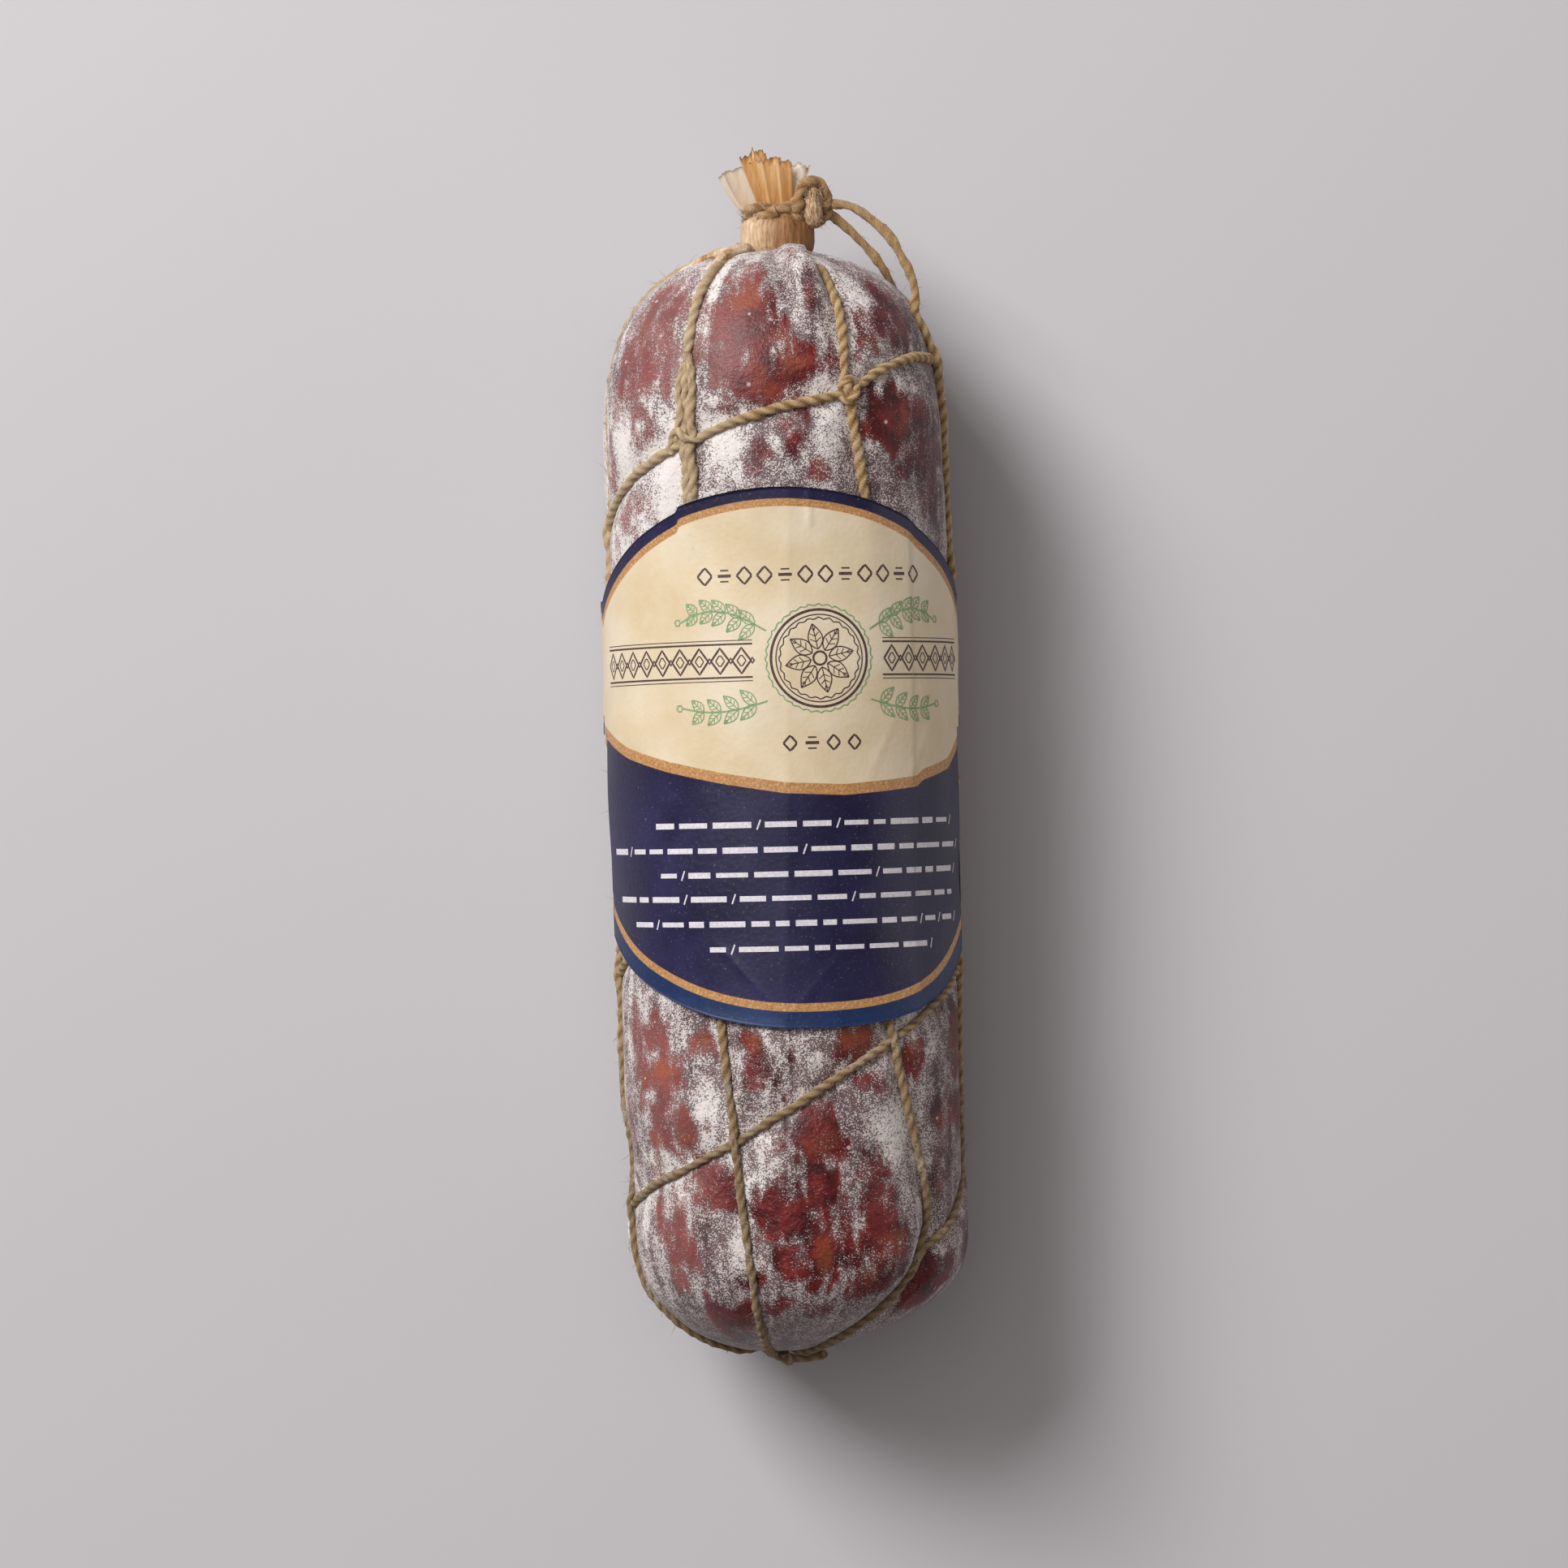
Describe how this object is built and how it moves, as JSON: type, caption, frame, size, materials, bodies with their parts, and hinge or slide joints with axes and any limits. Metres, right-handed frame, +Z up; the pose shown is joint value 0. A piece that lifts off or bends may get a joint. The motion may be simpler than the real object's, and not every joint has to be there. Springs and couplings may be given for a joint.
{
  "type": "truffle salami",
  "caption": "Whole cured salami in a white-bloomed natural casing, tied in a net of kitchen twine, with a shaped paper belly label.",
  "frame": {"origin": "middle of the flat under the belly that the salami rests on", "axes": "+Y along the sausage towards the tied end, +Z up through the label, +X to the right of the label as it is read"},
  "size_m": [0.0604, 0.2039, 0.0588],
  "materials": {
    "casing_bloom": "dry powdery mould bloom over dark red meat",
    "dry_casing": "dry, thin, slightly glossy and translucent",
    "twine": "matt natural fibre twine",
    "label_paper": "satin coated paper, printed in flat fields of colour"
  },
  "bodies": {
    "root": {"salami_body": "casing_bloom", "casing_end": "dry_casing", "twine_net": "twine", "neck_tie": "twine", "paper_label": "label_paper"}
  },
  "joints": []
}
